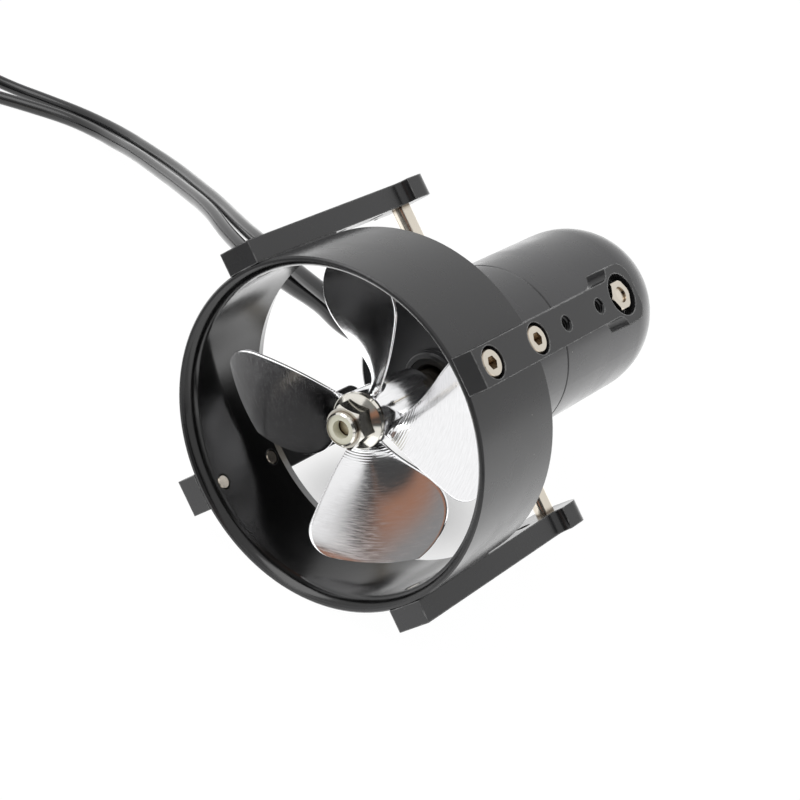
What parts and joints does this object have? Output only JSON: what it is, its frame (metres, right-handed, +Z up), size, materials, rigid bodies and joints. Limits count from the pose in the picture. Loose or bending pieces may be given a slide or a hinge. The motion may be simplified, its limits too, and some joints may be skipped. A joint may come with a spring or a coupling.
{
  "type": "underwater thruster",
  "caption": "Ducted underwater thruster: a polished screw propeller turns in a black ring duct that arms and studs carry on a sealed, domed electric motor with coiled power leads.",
  "frame": {"origin": "on the ground under the middle of the thruster's length, below the shaft", "axes": "+Y runs along the shaft from the propeller to the rear dome, +Z is up and +X is to the right of someone looking into the duct"},
  "size_m": [0.3794, 0.1793, 0.088],
  "materials": {
    "anodised_black": "satin black anodised",
    "stainless_steel": "bright stainless",
    "bare_aluminium": "turned",
    "seal_rubber": "matt",
    "core_iron": "varnished laminations",
    "copper_wire": "enamelled wire",
    "magnet": "nickel plated",
    "polished_metal": "mirror polished",
    "white_nylon": "natural",
    "potting": "poured resin",
    "lead_jacket": "silicone jacket",
    "tie_plastic": "moulded",
    "shrink_sleeve": "heat shrunk",
    "gold_plate": "plated"
  },
  "bodies": {
    "housing": {"duct_ring": "anodised_black", "arm_upper_right": "anodised_black", "arm_upper_left": "anodised_black", "arm_lower_left": "anodised_black", "arm_lower_right": "anodised_black", "ring_screws": "stainless_steel", "arm_studs": "stainless_steel", "stud_nuts": "stainless_steel", "front_housing": "anodised_black", "rear_can": "anodised_black", "rear_bearing_plate": "bare_aluminium", "housing_o_ring": "seal_rubber", "shaft_seal": "seal_rubber", "front_outer_race": "stainless_steel", "front_balls": "stainless_steel", "bearing_clip": "stainless_steel", "rear_outer_race": "stainless_steel", "rear_balls": "stainless_steel", "wave_washer": "stainless_steel", "stator_core": "core_iron", "stator_windings": "copper_wire", "lead_gland": "potting", "lead_upper": "lead_jacket", "lead_lower": "lead_jacket", "coil_upper": "lead_jacket", "coil_lower": "lead_jacket", "coil_ties": "tie_plastic", "lead_sleeves": "shrink_sleeve", "lead_bullets": "gold_plate"},
    "rotor": {"shaft": "stainless_steel", "drive_pin": "stainless_steel", "propeller": "polished_metal", "prop_washer": "stainless_steel", "prop_nut": "stainless_steel", "nut_insert": "white_nylon", "rotor_core": "core_iron", "rotor_magnets": "magnet", "front_inner_race": "stainless_steel", "rear_inner_race": "stainless_steel"}
  },
  "joints": [
    {"name": "propeller_spin", "type": "hinge", "parent": "housing", "child": "rotor", "pos_m": [0, 0, 0.044], "axis": [0, 1, 0], "continuous": true}
  ]
}
